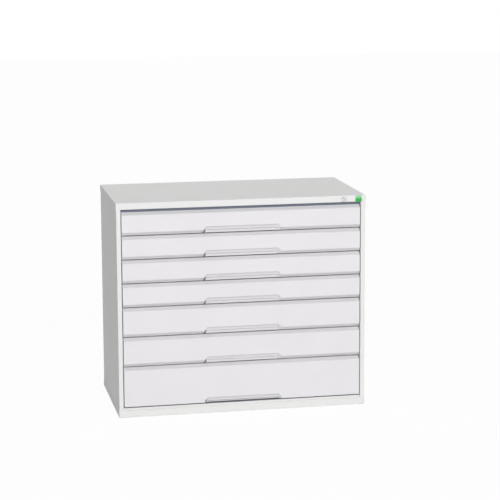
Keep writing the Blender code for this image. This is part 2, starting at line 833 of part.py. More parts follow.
def make_lock_housing():
    """Round face and barrel of the lock."""
    bore = PLUG_RADIUS + TOUCH
    face = LOCK_FACE_RADIUS
    edge = LOCK_FACE_CHAMFER
    profile = [
        (bore, LOCK_PROUD),
        (face - edge, LOCK_PROUD),
        (face, LOCK_PROUD - edge),
        (face, TOUCH),
        (LOCK_BODY_RADIUS, TOUCH),
        (LOCK_BODY_RADIUS, -LOCK_BODY_LENGTH),
        (bore, -LOCK_BODY_LENGTH),
    ]
    housing = turned("lock_housing", profile, LOCK_X, LOCK_Z)
    housing.data.materials.append(plated("lock_housing", BRIGHT, 0.2))
    smooth(housing)


def make_lock_nut():
    """Six-sided nut behind the top rail."""
    near = FRONT_Y + CARCASS_SHEET + TOUCH
    far = near + LOCK_NUT_THICKNESS
    corner = LOCK_NUT_RADIUS / math.cos(math.radians(30))
    outline = arc((LOCK_X, LOCK_Z), corner, 0, 300, 5)
    hole = arc((LOCK_X, LOCK_Z), LOCK_BODY_RADIUS + TOUCH, 0, 345, 23)
    nut = add_object("lock_nut", outline_mesh([outline, hole], near, far), PARTS)
    nut.data.materials.append(plated("lock_nut"))


def make_lock_plug(axis):
    """Turning plug with its keyhole in front and a square drive behind."""
    rear = -(CAM_REAR_Y - CAM_SHEET - TOUCH - FRONT_Y)
    profile = [
        (0, PLUG_PROUD),
        (PLUG_RADIUS - LOCK_FACE_CHAMFER, PLUG_PROUD),
        (PLUG_RADIUS, PLUG_PROUD - LOCK_FACE_CHAMFER),
        (PLUG_RADIUS, rear),
        (0, rear),
    ]
    plug = turned("lock_plug", profile, LOCK_X, LOCK_Z)
    half = DRIVE_SIZE / 2
    start = CAM_REAR_Y - 2 * CAM_SHEET
    square = box_mesh((-half, start, -half), (half, CAM_REAR_Y, half))
    square.transform(Matrix.Translation((LOCK_X, 0, LOCK_Z)) @ Matrix.Rotation(CAM_START, 4, "Y"))
    boolean(plug, add_cutter("lock_plug_drive", square), "UNION")
    slot_low = (-KEYHOLE_WIDTH / 2, FRONT_Y - OVERRUN, -KEYHOLE_HEIGHT / 2)
    slot_high = (KEYHOLE_WIDTH / 2, FRONT_Y - PLUG_PROUD + KEYHOLE_DEPTH, KEYHOLE_HEIGHT / 2)
    keyhole = box_mesh(slot_low, slot_high)
    keyhole.transform(Matrix.Translation((LOCK_X, 0, LOCK_Z)))
    boolean(plug, add_cutter("lock_plug_keyhole", keyhole), "DIFFERENCE")
    plug.data.materials.append(plated("lock_plug", BRIGHT, 0.2))
    smooth(plug)
    carry(plug, axis)


def make_lock_cam(axis):
    """Lever on the plug's drive, with the pin that moves the plate."""
    pin_x = LOCK_X + CAM_THROW * math.sin(CAM_START)
    pin_z = LOCK_Z - CAM_THROW * math.cos(CAM_START)
    towards = math.degrees(math.atan2(pin_z - LOCK_Z, pin_x - LOCK_X))
    spread = math.degrees(math.acos((CAM_RADIUS - CAM_TIP_RADIUS) / CAM_THROW))
    hub = arc((LOCK_X, LOCK_Z), CAM_RADIUS, towards + spread, towards + 360 - spread, 16)
    tip = arc((pin_x, pin_z), CAM_TIP_RADIUS, towards - spread, towards + spread, 8)
    near = CAM_REAR_Y - CAM_SHEET
    cam = add_object("lock_cam", outline_mesh([hub + tip], near, CAM_REAR_Y), PARTS)
    half = DRIVE_SIZE / 2 + TOUCH
    square = box_mesh((-half, near - OVERRUN, -half), (half, CAM_REAR_Y + OVERRUN, half))
    square.transform(Matrix.Translation((LOCK_X, 0, LOCK_Z)) @ Matrix.Rotation(CAM_START, 4, "Y"))
    boolean(cam, add_cutter("lock_cam_square", square), "DIFFERENCE")
    pin_end = CAM_REAR_Y + TOUCH + PLATE_SHEET
    pin = rod_mesh(pin_x, pin_z, PIN_RADIUS, CAM_REAR_Y - CAM_SHEET / 2, pin_end)
    boolean(cam, add_cutter("lock_cam_pin", pin), "UNION")
    cam.data.materials.append(plated("lock_cam"))
    set_origin(cam, axis.location)
    carry(cam, axis)


def slot_outline(start, end, radius):
    """Long hole with round ends between two places."""
    angle = math.degrees(math.atan2(end[1] - start[1], end[0] - start[0]))
    far = arc(end, radius, angle - 90, angle + 90, 6)
    return far + arc(start, radius, angle + 90, angle + 270, 6)


def make_lock_plate():
    """Plate behind the top rail that takes the cam's turn to the lock bar."""
    travel = LOCK_TRAVEL
    radius = PIN_RADIUS + PIN_CLEARANCE
    near = PLATE_REAR_Y - PLATE_SHEET
    pin_x = LOCK_X + CAM_THROW * math.sin(CAM_START)
    pin_high = LOCK_Z - CAM_THROW * math.cos(CAM_START)
    pin_low = LOCK_Z - CAM_THROW
    drive_slot = slot_outline((pin_x, pin_low), (pin_x, pin_high), radius)
    bar_slot = slot_outline((BAR_PIN_X, LOCK_Z), (BAR_PIN_X + travel, LOCK_Z - travel), radius)
    margin = radius + PLATE_MARGIN
    left = pin_x - margin
    right = BAR_PIN_X + travel + radius + PLATE_MARGIN / 2
    step_x = BAR_PIN_X - margin
    low = LOCK_Z - travel - margin
    arm_low = pin_low - margin
    arm_high = pin_high + margin
    high = LOCK_Z + margin
    outline = [
        (left, arm_low),
        (step_x, arm_low),
        (step_x, low),
        (right, low),
        (right, high),
        (step_x, high),
        (step_x, arm_high),
        (left, arm_high),
    ]
    bm = outline_mesh([outline, drive_slot, bar_slot], near, PLATE_REAR_Y)
    plate = add_object("lock_plate", bm, PARTS)
    plate.data.materials.append(plated("lock_plate"))
    set_origin(plate, (pin_x, near, LOCK_Z))


def make_lock_bar():
    """Upright bar with a catch for each drawer and the pin that lifts it."""
    outer = BAR_OUTER_X
    inner = BAR_INNER_X
    head_low = LOCK_Z - PIN_RADIUS - PLATE_MARGIN
    head_high = LOCK_Z + PIN_RADIUS + PLATE_MARGIN
    head_x = BAR_PIN_X - PIN_RADIUS - PLATE_MARGIN
    outline = [(inner, BAR_FOOT), (outer, BAR_FOOT), (outer, head_high), (head_x, head_high)]
    outline += [(head_x, head_low), (inner, head_low)]
    for number in reversed(range(len(DRAWER_PITCHES))):
        striker_top = tray_height(number)[1] - STRIKER_DROP
        low = striker_top + CATCH_CLEARANCE + LOCK_TRAVEL
        tip = inner - CATCH_REACH
        outline += [(inner, low + CATCH_HEIGHT), (tip, low + CATCH_HEIGHT), (tip, low), (inner, low)]
    near = BAR_REAR_Y - PLATE_SHEET
    bar = add_object("lock_bar", outline_mesh([outline], near, BAR_REAR_Y), PARTS)
    pin_end = BAR_REAR_Y - PLATE_SHEET / 2
    pin = rod_mesh(BAR_PIN_X, LOCK_Z, PIN_RADIUS, PLATE_REAR_Y - PLATE_SHEET, pin_end)
    boolean(bar, add_cutter("lock_bar_pin", pin), "UNION")
    bar.data.materials.append(plated("lock_bar"))
    set_origin(bar, (inner, near, BAR_FOOT))


def make_lock():
    """Lock, from its face in the top rail to the bar behind the right stile."""
    axis = add_axis("lock_axis", (LOCK_X, FRONT_Y, LOCK_Z))
    make_lock_housing()
    make_lock_nut()
    make_lock_plug(axis)
    make_lock_cam(axis)
    make_lock_plate()
    make_lock_bar()


def make_end_plate():
    """Plain plate at the right end of the top rail."""
    x = HALF_WIDTH - END_PLATE_INSET
    z = HEIGHT - TOP_RAIL / 2
    half = END_PLATE_WIDTH / 2 - END_PLATE_CORNER
    rise = END_PLATE_HEIGHT / 2 - END_PLATE_CORNER
    outline = []
    for start, right, up in ((0, 1, 1), (90, -1, 1), (180, -1, -1), (270, 1, -1)):
        centre = (x + right * half, z + up * rise)
        outline += arc(centre, END_PLATE_CORNER, start, start + 90, 4)
    far = FRONT_Y - TOUCH
    plate = add_object("end_plate", outline_mesh([outline], far - END_PLATE_THICKNESS, far), PARTS)
    plate.data.materials.append(make_material("end_plate_green", GREEN, 0.4, 0))


def main():
    """Build the cabinet."""
    make_top_cover()
    make_base_tray()
    make_side_panel(-1, "side_panel_left")
    make_side_panel(1, "side_panel_right")
    make_back_panel()
    make_carcass_floor()
    for side, word in ((-1, "left"), (1, "right")):
        make_upright(side, FRONT_UPRIGHT_Y, "upright_front_" + word)
        make_upright(side, REAR_UPRIGHT_Y, "upright_rear_" + word)
    make_drawers()
    make_lock()
    make_end_plate()


clear_scene()
PARTS = make_collection("steel_drawer_cabinet")
CUTTERS = make_collection("cutters")
main()
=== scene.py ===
import math

import bmesh
import bpy
from mathutils import Matrix, Vector


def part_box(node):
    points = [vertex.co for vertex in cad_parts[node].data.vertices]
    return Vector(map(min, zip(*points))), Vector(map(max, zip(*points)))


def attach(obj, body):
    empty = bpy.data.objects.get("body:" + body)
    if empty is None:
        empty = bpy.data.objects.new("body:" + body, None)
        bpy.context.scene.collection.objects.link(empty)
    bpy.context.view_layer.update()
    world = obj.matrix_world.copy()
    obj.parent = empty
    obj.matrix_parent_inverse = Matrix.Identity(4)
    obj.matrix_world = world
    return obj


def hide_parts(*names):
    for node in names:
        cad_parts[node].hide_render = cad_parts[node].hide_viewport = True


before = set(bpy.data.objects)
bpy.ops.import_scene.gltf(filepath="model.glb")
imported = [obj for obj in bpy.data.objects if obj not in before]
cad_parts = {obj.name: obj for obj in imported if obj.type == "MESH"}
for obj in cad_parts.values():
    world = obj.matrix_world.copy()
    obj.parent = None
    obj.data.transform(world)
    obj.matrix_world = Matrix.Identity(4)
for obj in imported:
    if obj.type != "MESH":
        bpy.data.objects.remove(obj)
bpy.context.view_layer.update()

# Cabinet, in metres
HALF_WIDTH = 0.525
HEIGHT = 0.900
FRONT_Y = -0.274
REAR_Y = 0.276
RAIL_Z = 0.873
RAIL_RETURN = 0.018
BASE_SKIRT = 0.030
CARCASS_SHEET = 0.0012
SIDE_X = 0.5235
STILE_X = 0.5052
STILE_RETURN = 0.0255
STILE_CUT = 0.003
STILE_RADIUS = 0.0015
COVER_RADIUS = 0.002
BASE_RADIUS = 0.003
# Where the carcass floor's painted shade starts behind its front, and how softly it fades in
FLOOR_LIP_DEPTH = 0.0014
FLOOR_SHADE_BLUR = 0.001
GAP = 0.0003
CUT_OVER = 0.010

# Rivets on the back
RIVET_RADIUS = 0.0032
RIVET_LENGTH = 0.0012
RIVET_RIM = 0.0011
RIVET_DOME = 0.0006
RIVET_HOLE_RIM = 0.0009
RIVET_HOLE_DEPTH = 0.0005
RIVETS_UP = 6
RIVET_FOOT = 0.080
RIVET_RISE = 0.148
RIVET_INSET = 0.010
RIVETS_ACROSS = 5
RIVET_START_X = -0.440
RIVET_PITCH_X = 0.220
RIVET_DROP = 0.0135

# Drawer fronts
DRAWERS = range(1, 8)
DRAWER_SHEET = 0.0010
UPPER_BEVEL = 0.0132
UPPER_BEVEL_DEPTH = 0.0165
LOWER_BEVEL = 0.0147
LOWER_BEVEL_DEPTH = 0.0135
LOWER_EDGE_LIFT = 0.0006
TOP_EDGE_LIFT = 0.003
LOWEST_FOLD_DROP = 0.006
LOWEST_BEVEL_DEPTH = 0.0015
FRONT_RETURN = 0.012
FACE_Y = -0.2725
# Painted shade in the drawers' folds, growing with depth behind the face
FOLD_START = 0.0004
FOLD_END = 0.0045
FOLD_SHADE = 0.88
MERGE_REACH = 0.00002
FLAT_ANGLE = math.radians(1)

# Grip recess
GRIP_CREST = 0.150
GRIP_FOOT = 0.165
GRIP_RISE = 0.0149
GRIP_SLANT = (GRIP_FOOT - GRIP_CREST) / GRIP_RISE
GRIP_FIRST_DEPTH = 0.006
GRIP_FIRST_RAMP = 0.0077
GRIP_FLAT = 0.0061
GRIP_STEP = 0.0018
GRIP_SECOND_DEPTH = 0.014
GRIP_SECOND_RAMP = 0.0058
GRIP_CHEEK = 0.006
GRIP_FIRST_LEAN = 0.004
GRIP_SECOND_LEAN = 0.003
GRIP_FOLD = 0.0004
# Dark catch in each recess's left end, standing for the shadow there
CATCH_WIDTH = 0.0058
CATCH_LEAN = 0.007
CATCH_DEPTH = 0.0042
CATCH_RIM = 0.0008
CATCH_FOLD = 0.0005

# Drawer trays
TRAY_X = 0.4946
RIM_FLANGE = 0.010
RIM_HEM = 0.003
TRAY_FOLD = 0.0012
SLOT_COUNT = 19
SLOT_START_X = -0.450
SLOT_WIDTH = 0.0025
SLOT_PITCH = 0.050
SLOT_INSET = 0.020
SLOT_CORNER = 0.001
STRIKER_DROP = 0.012
STRIKER_HEIGHT = 0.008
STRIKER_REACH = 0.009
STRIKER_SHEET = 0.0015
STRIKER_CORNER = 0.002
STRIKER_FOOT = 0.008

# Telescopic runners
BALL_RADIUS = 0.0022
BALL_PITCH = 0.014
BALL_ROW_INSET = 0.004
BALL_ROW_OVERLAP = 0.008
CAGE_WIDTH = 0.0036
CAGE_SHEET = 0.0009
MIDDLE_REACH = 0.0141
MIDDLE_SHEET = 0.0014
DRAWER_REACH = 0.0083
DRAWER_LIP = 0.0072
DRAWER_RAIL_INSET = 0.001
RAIL_SHEET = 0.0015
RUNNER_FOLD = 0.0009

# Lock
LOCK_X = 0.4315
LOCK_Z = 0.884
LOCK_RADIUS = 0.01075
LOCK_HOLE = 0.0083
LOCK_PROUD = 0.002
LOCK_BARREL = 0.008
LOCK_BEVEL = 0.0007
LOCK_RIM = 0.0002
LOCK_GROOVE = 0.0003
LOCK_RING = 0.0016
LOCK_SLOPE = 0.0006
LOCK_DISH = 0.0003
# Width of the lock face's outer rim that gets painted shade
LOCK_EDGE_SHADE_WIDTH = 0.0011
LOCK_MERGE_REACH = 0.00004
# Small recess at the upper left of the lock's ring, painted dark as shade
MARK_WAY = Vector((-0.5, 0, 0.866))
MARK_COSINE = 0.96
MARK_INNER = 0.0077
MARK_OUTER = 0.0097
MARK_RIM = 0.0002
MARK_DEPTH = 0.0006
PLUG_RADIUS = 0.0053
PLUG_BEVEL = 0.0006
PLUG_RIM = 0.0016
PLUG_RECESS = 0.0004
PLUG_TAPER = 0.9
KEYWAY_HALF_WIDTH = 0.0007
KEYWAY_HALF_HEIGHT = 0.0028
KEYWAY_DEPTH = 0.007

# End plate
PLATE_MARGIN = Vector((0.001, 0, 0.0006))
PLATE_CORNER = 0.003
PLATE_RIM = 0.0006
PLATE_PROUD = 0.0001
PLATE_SINK = 0.0003
PLATE_FIELDS_Z = 0.8885
PLATE_FIELDS_BLUR = 0.0002

# Camera, from the photograph's perspective
CAMERA_PLACE = (-1.3766, -7.3749, 2.0112)
CAMERA_YAW = math.radians(-11.87)
CAMERA_PITCH = math.radians(9.73)
CAMERA_ROLL = math.radians(-0.154)
CAMERA_LENS = 127.84
CAMERA_SENSOR = 36
CAMERA_SHIFT = -0.04
CAMERA_REACH = 100

# Stage
FLOOR_SIZE = 40
FLOOR_GREY = (0.45, 0.45, 0.45, 1)
FLOOR_GLOW = 0.95
WHITE = (1, 1, 1, 1)

# Shared by several pieces and finishes
NOISE_LOW = 0.3
NOISE_HIGH = 0.7
FACING = 0.9
SQUARELY = 0.99
FOLD_ANGLE = math.radians(20)
SMOOTH_ANGLE = math.radians(38)
QUARTER = math.radians(90)
ORIGIN = (0, 0, 0)


def srgb(level):
    """Linear value of a colour level from 0 to 255."""
    value = level / 255
    return value / 12.92 if value <= 0.04045 else ((value + 0.055) / 1.055) ** 2.4


def tint(red, green, blue):
    """Linear colour from three levels."""
    return (srgb(red), srgb(green), srgb(blue), 1)


def shaded(colour, share):
    """Colour made a little darker or lighter."""
    return tuple(channel * share for channel in colour[:3]) + (1,)


# Edit mode

def leave_all():
    """Leave edit mode with nothing selected."""
    if bpy.context.object and bpy.context.object.mode != "OBJECT":
        bpy.ops.object.mode_set(mode="OBJECT")
    bpy.ops.object.select_all(action="DESELECT")


def select_only(item):
    """Leave edit mode and select one piece."""
    leave_all()
    item.select_set(True)
    bpy.context.view_layer.objects.active = item


def start_piece(name):
    """Name the new primitive, settle its place and open it in edit mode."""
    item = bpy.context.object
    item.name = name
    item.data.name = name
    bpy.ops.object.transform_apply(location=True, rotation=True, scale=True)
    bpy.ops.object.mode_set(mode="EDIT")
    bpy.ops.mesh.select_all(action="DESELECT")
    return item


def start_block(name, low, high):
    """Block between two corners, open in edit mode."""
    leave_all()
    middle = (Vector(low) + Vector(high)) / 2
    size = Vector(high) - Vector(low)
    bpy.ops.mesh.primitive_cube_add(size=1, location=middle, scale=size)
    return start_piece(name)


def start_disc(name, centre, radius, length, sides=48):
    """Round bar on an axis from front to back, open in edit mode."""
    leave_all()
    bpy.ops.mesh.primitive_cylinder_add(
        vertices=sides, radius=radius, depth=length, location=centre, rotation=(QUARTER, 0, 0)
    )
    return start_piece(name)


def pick(kind, parts, test):
    """Select the faces, edges or corners of the open piece that pass a test."""
    bpy.ops.mesh.select_mode(type=kind)
    bpy.ops.mesh.select_all(action="DESELECT")
    mesh = bpy.context.object.data
    open_mesh = bmesh.from_edit_mesh(mesh)
    for part in getattr(open_mesh, parts):
        if test(part):
            part.select_set(True)
    bmesh.update_edit_mesh(mesh)


def pick_faces(test):
    """Select the faces whose middle and normal pass a test."""
    pick("FACE", "faces", lambda face: test(face.calc_center_median(), face.normal))


def pick_edges(test):
    """Select the edges whose middle, direction and number of faces pass a test."""
    def passes(edge):
        first, second = (corner.co for corner in edge.verts)
        return test((first + second) / 2, (second - first).normalized(), len(edge.link_faces))
    pick("EDGE", "edges", passes)


def pick_corners(test):
    """Select the corners whose place passes a test."""
    pick("VERT", "verts", lambda corner: test(corner.co))


def drop_faces(test):
    """Delete the faces that pass a test."""
    pick_faces(test)
    bpy.ops.mesh.delete(type="FACE")


def cut_across(place, normal, clear=False):
    """Cut the whole piece with a plane; clear removes what is beyond it."""
    bpy.ops.mesh.select_all(action="SELECT")
    bpy.ops.mesh.bisect(plane_co=place, plane_no=normal, use_fill=clear, clear_outer=clear)


def inset(width):
    """Inset the selected faces by a width."""
    bpy.ops.mesh.inset(thickness=width)


def move(shift):
    """Move what is selected."""
    bpy.ops.transform.translate(value=shift)


def squeeze(factors, centre=ORIGIN):
    """Scale what is selected about a centre."""
    bpy.ops.transform.resize(value=factors, center_override=centre)


def pull(shift):
    """Extrude what is selected."""
    bpy.ops.mesh.extrude_region_move(TRANSFORM_OT_translate={"value": shift})


def round_corners(radius, segments, test):
    """Round the edges that pass a test."""
    pick_edges(test)
    bpy.ops.mesh.bevel(offset=radius, segments=segments)


# Finishing

def use_modifier(item, kind, **settings):
    """Add a modifier and apply it."""
    select_only(item)
    modifier = item.modifiers.new(kind.lower(), kind)
    for key, value in settings.items():
        setattr(modifier, key, value)
    bpy.ops.object.modifier_apply(modifier=modifier.name)


def round_folds(item, radius, segments=3):
    """Round every fold that is sharper than the fold angle."""
    use_modifier(
        item, "BEVEL", width=radius, segments=segments, limit_method="ANGLE", angle_limit=FOLD_ANGLE
    )


def give_wall(item, thickness, even=True):
    """Turn a folded surface into sheet, on its inner side."""
    use_modifier(item, "SOLIDIFY", thickness=thickness, offset=-1, use_even_offset=even)


def repeat(item, count, step):
    """Turn a piece into a row of itself in one mesh."""
    use_modifier(
        item, "ARRAY", count=count, use_relative_offset=False,
        use_constant_offset=True, constant_offset_displace=step
    )


def cut_with(item, tool):
    """Cut a piece with a tool and remove the tool."""
    use_modifier(item, "BOOLEAN", object=tool, operation="DIFFERENCE", solver="EXACT")
    bpy.data.objects.remove(tool, do_unlink=True)


def join_all(items):
    """Join pieces into the first."""
    select_only(items[0])
    for item in items[1:]:
        item.select_set(True)
    bpy.ops.object.join()
    return items[0]


def finish_piece(item, body, slot, finish, *nodes):
    """Shade a piece, give it its finish and hang it on its body."""
    select_only(item)
    bpy.ops.object.shade_smooth_by_angle(angle=SMOOTH_ANGLE)
    use_modifier(item, "WEIGHTED_NORMAL", keep_sharp=True, weight=80)
    item.data.materials.clear()
    item.data.materials.append(finish)
    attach(item, body)
    if nodes:
        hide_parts(*nodes)


def copy_piece(item, name, shift=ORIGIN):
    """Copy of a finished shape with its own mesh, moved to its place."""
    twin = item.copy()
    twin.data = item.data.copy()
    twin.name = name
    twin.data.name = name
    twin.data.transform(Matrix.Translation(shift))
    bpy.context.scene.collection.objects.link(twin)
    return twin


def mirror(item):
    """Turn a piece into its mirror image on the other side of the cabinet."""
    item.data.transform(Matrix.Scale(-1, 4, (1, 0, 0)))
    item.data.flip_normals()


# Finishes

def new_finish(name):
    """Material with its shader and a reader of the piece's own place."""
    finish = bpy.data.materials.new(name)
    finish.use_nodes = True
    tree = finish.node_tree
    place = tree.nodes.new("ShaderNodeTexCoord")
    return finish, tree, tree.nodes["Principled BSDF"], place.outputs["Object"]


def speckle(tree, place, scale, detail=2.0, stretch=None):
    """Noise of one scale, stretched along an axis if asked."""
    if stretch:
        mapping = tree.nodes.new("ShaderNodeMapping")
        mapping.inputs["Scale"].default_value = stretch
        tree.links.new(place, mapping.inputs["Vector"])
        place = mapping.outputs["Vector"]
    noise = tree.nodes.new("ShaderNodeTexNoise")
    noise.inputs["Scale"].default_value = scale
    noise.inputs["Detail"].default_value = detail
    tree.links.new(place, noise.inputs["Vector"])
    return noise.outputs["Fac"]


def blend_colours(tree, share, first, second):
    """Colour between two, by a share."""
    ramp = tree.nodes.new("ShaderNodeValToRGB")
    ramp.color_ramp.elements[0].position = NOISE_LOW
    ramp.color_ramp.elements[0].color = first
    ramp.color_ramp.elements[1].position = NOISE_HIGH
    ramp.color_ramp.elements[1].color = second
    tree.links.new(share, ramp.inputs["Fac"])
    return ramp.outputs["Color"]


def map_range(tree, value, source, target=(0, 1)):
    """Value carried from one range to another."""
    reach = tree.nodes.new("ShaderNodeMapRange")
    for limit, number in zip(("From Min", "From Max", "To Min", "To Max"), source + target):
        reach.inputs[limit].default_value = number
    tree.links.new(value, reach.inputs["Value"])
    return reach.outputs["Result"]


def set_gloss(tree, shader, share, low, high):
    """Roughness between two values, by a share."""
    rough = map_range(tree, share, (NOISE_LOW, NOISE_HIGH), (low, high))
    tree.links.new(rough, shader.inputs["Roughness"])


def step_along(tree, place, axis, start, end):
    """Share that rises from 0 to 1 between two places on an axis."""
    apart = tree.nodes.new("ShaderNodeSeparateXYZ")
    tree.links.new(place, apart.inputs["Vector"])
    return map_range(tree, apart.outputs[axis], (start, end))


def start_mix(tree, share, first):
    """Mix of two colours by a share, with its first colour linked."""
    mix = tree.nodes.new("ShaderNodeMix")
    mix.data_type = "RGBA"
    tree.links.new(share, mix.inputs["Factor"])
    tree.links.new(first, mix.inputs["A"])
    return mix


def bump(tree, shader, height, strength, distance):
    """Relief on the surface."""
    relief = tree.nodes.new("ShaderNodeBump")
    relief.inputs["Strength"].default_value = strength
    relief.inputs["Distance"].default_value = distance
    tree.links.new(height, relief.inputs["Height"])
    tree.links.new(relief.outputs["Normal"], shader.inputs["Normal"])


def paint_fold_shade(tree, place, coat):
    """Painted shade: the coat a little darker in the folds and recesses behind the drawers' faces,
    where shade falls.
    """
    depth = step_along(tree, place, "Y", FACE_Y + FOLD_START, FACE_Y + FOLD_END)
    mix = start_mix(tree, depth, coat)
    mix.blend_type = "MULTIPLY"
    mix.inputs["B"].default_value = (FOLD_SHADE, FOLD_SHADE, FOLD_SHADE, 1)
    return mix.outputs["Result"]


def lay_coat(tree, shader, place, coat):
    """Satin surface of a powder coat: its colour, orange peel and uneven gloss."""
    tree.links.new(coat, shader.inputs["Base Color"])
    peel = speckle(tree, place, scale=420.0, detail=1.0)
    set_gloss(tree, shader, speckle(tree, place, scale=60.0), low=0.46, high=0.58)
    bump(tree, shader, peel, strength=0.10, distance=0.0004)
    shader.inputs["Specular IOR Level"].default_value = 0.35


def powder_coat(name, colour, with_fold_shade=False):
    """Powder coat with faint clouding, with painted shade in the folds if asked."""
    finish, tree, shader, place = new_finish(name)
    clouds = speckle(tree, place, scale=5.0, detail=3.0)
    coat = blend_colours(tree, clouds, shaded(colour, 0.985), shaded(colour, 1.01))
    if with_fold_shade:
        coat = paint_fold_shade(tree, place, coat)
    lay_coat(tree, shader, place, coat)
    return finish


def coat_with_rear_shade(name, front_colour, rear_shade_colour, start):
    """Powder coat with painted shade behind the front lip of the carcass floor: darker and bluer
    there, as the shade deep inside.
    """
    finish, tree, shader, place = new_finish(name)
    clouds = speckle(tree, place, scale=5.0, detail=3.0)
    front = blend_colours(tree, clouds, shaded(front_colour, 0.985), front_colour)
    rear = blend_colours(tree, clouds, shaded(rear_shade_colour, 0.985), rear_shade_colour)
    mix = start_mix(tree, step_along(tree, place, "Y", start, start + FLOOR_SHADE_BLUR), front)
    tree.links.new(rear, mix.inputs["B"])
    lay_coat(tree, shader, place, mix.outputs["Result"])
    return finish


def zinc_plate(name, colour):
    """Zinc plated steel with cloudy spangle and fine rolling lines."""
    finish, tree, shader, place = new_finish(name)
    spangle = tree.nodes.new("ShaderNodeTexVoronoi")
    spangle.inputs["Scale"].default_value = 240.0
    tree.links.new(place, spangle.inputs["Vector"])
    cells = spangle.outputs["Distance"]
    clouded = blend_colours(tree, cells, shaded(colour, 0.93), shaded(colour, 1.04))
    tree.links.new(clouded, shader.inputs["Base Color"])
    lines = speckle(tree, place, scale=90.0, stretch=(12.0, 0.3, 12.0))
    set_gloss(tree, shader, lines, low=0.34, high=0.5)
    bump(tree, shader, lines, strength=0.08, distance=0.0002)
    shader.inputs["Metallic"].default_value = 1.0
    return finish


def bright_nickel(name, colour, low, high):
    """Plated metal with fine wear, its roughness between two values."""
    finish, tree, shader, place = new_finish(name)
    wear = speckle(tree, place, scale=900.0, detail=3.0)
    worn = blend_colours(tree, wear, shaded(colour, 0.93), colour)
    tree.links.new(worn, shader.inputs["Base Color"])
    set_gloss(tree, shader, speckle(tree, place, scale=300.0), low, high)
    bump(tree, shader, wear, strength=0.05, distance=0.0001)
    shader.inputs["Metallic"].default_value = 1.0
    return finish


def plate_enamel(name, upper, lower):
    """Glossy plate in two plain fields, one above the other."""
    finish, tree, shader, place = new_finish(name)
    above = step_along(
        tree, place, "Z", PLATE_FIELDS_Z - PLATE_FIELDS_BLUR, PLATE_FIELDS_Z + PLATE_FIELDS_BLUR
    )
    clouds = speckle(tree, place, scale=200.0)
    low_field = blend_colours(tree, clouds, shaded(lower, 0.94), lower)
    high_field = blend_colours(tree, clouds, shaded(upper, 0.97), upper)
    mix = start_mix(tree, above, low_field)
    tree.links.new(high_field, mix.inputs["B"])
    tree.links.new(mix.outputs["Result"], shader.inputs["Base Color"])
    set_gloss(tree, shader, clouds, low=0.28, high=0.36)
    return finish


CARCASS_GREY = tint(236, 236, 235)
CARCASS = powder_coat("carcass_grey", CARCASS_GREY)
# Drawer paint with painted shade in its folds and recesses
DRAWER = powder_coat("drawer_lilac_white", tint(234, 232, 235), with_fold_shade=True)
# Dark blue-grey that paints the shade in the gap behind the top rail
INSIDE_PAINTED_SHADE = powder_coat("inside_painted_shade", tint(104, 110, 122))
# Carcass floor: darker and bluer behind its front lip, as painted shade
FLOOR_COAT_AND_SHADE = coat_with_rear_shade(
    "floor_coat_painted_shade", CARCASS_GREY, tint(166, 170, 179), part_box("carcass_floor")[0].y + FLOOR_LIP_DEPTH
)
ZINC = zinc_plate("zinc", tint(196, 199, 205))
STEEL = bright_nickel("ball_steel", tint(215, 216, 220), low=0.12, high=0.2)
NICKEL = bright_nickel("lock_nickel", tint(242, 242, 243), low=0.2, high=0.3)
# Darker nickel on the lock face's outer rim: painted shade around its edge
LOCK_EDGE_SHADE = bright_nickel("lock_edge_painted_shade", tint(158, 159, 162), low=0.3, high=0.4)
# Dark steel of the grip catches: painted shadow in the recesses' left ends
CATCH_SHADOW = bright_nickel("catch_painted_shadow_steel", tint(124, 124, 127), low=0.35, high=0.45)
# Dark metal that paints the shade in the keyway and in the small recess on the lock's ring
KEYWAY_SHADE = bright_nickel("keyway_painted_shade", tint(70, 70, 74), low=0.5, high=0.6)
PLATE = plate_enamel("end_plate_green", tint(150, 214, 160), tint(56, 180, 80))


# Camera

def place_camera():
    """Camera at the photograph's angle: in front, left and a little above."""
    level = Vector((-math.sin(CAMERA_YAW), math.cos(CAMERA_YAW), 0))
    ahead = math.cos(CAMERA_PITCH) * level - math.sin(CAMERA_PITCH) * Vector((0, 0, 1))
    right = Vector((math.cos(CAMERA_YAW), math.sin(CAMERA_YAW), 0))
    up = right.cross(ahead)
    turned_right = math.cos(CAMERA_ROLL) * right + math.sin(CAMERA_ROLL) * up
    turned_up = -math.sin(CAMERA_ROLL) * right + math.cos(CAMERA_ROLL) * up
    lens = bpy.data.cameras.new("camera")
    camera = bpy.data.objects.new("camera", lens)
    bpy.context.scene.collection.objects.link(camera)
    stand = Matrix((turned_right, turned_up, -ahead)).transposed().to_4x4()
    stand.translation = CAMERA_PLACE
    camera.matrix_world = stand
    lens.sensor_width = CAMERA_SENSOR
    lens.lens = CAMERA_LENS
    lens.shift_x = CAMERA_SHIFT
    lens.shift_y = CAMERA_SHIFT
    lens.clip_end = CAMERA_REACH
    bpy.context.scene.camera = camera


# Carcass

def make_top_cover():
    """Cover turned down on all sides, with the lip of its top rail and the lock's hole."""
    cover = start_block(
        "top_cover_sheet", (-HALF_WIDTH, FRONT_Y, RAIL_Z), (HALF_WIDTH, REAR_Y, HEIGHT)
    )
    drop_faces(lambda middle, normal: normal.z < -FACING)
    end = STILE_X - GAP
    cut_across((end, 0, 0), (1, 0, 0))
    cut_across((-end, 0, 0), (1, 0, 0))
    front = FRONT_Y + GAP
    pick_edges(lambda middle, way, sides: sides == 1 and middle.y < front and abs(middle.x) < end)
    pull((0, RAIL_RETURN, 0))
    round_folds(cover, COVER_RADIUS, segments=4)
    give_wall(cover, CARCASS_SHEET)
    cut_with(cover, start_disc("hole_tool", (LOCK_X, FRONT_Y, LOCK_Z), LOCK_HOLE, 2 * CUT_OVER))
    finish_piece(cover, "carcass", "carcass_paint", CARCASS, "top_cover")


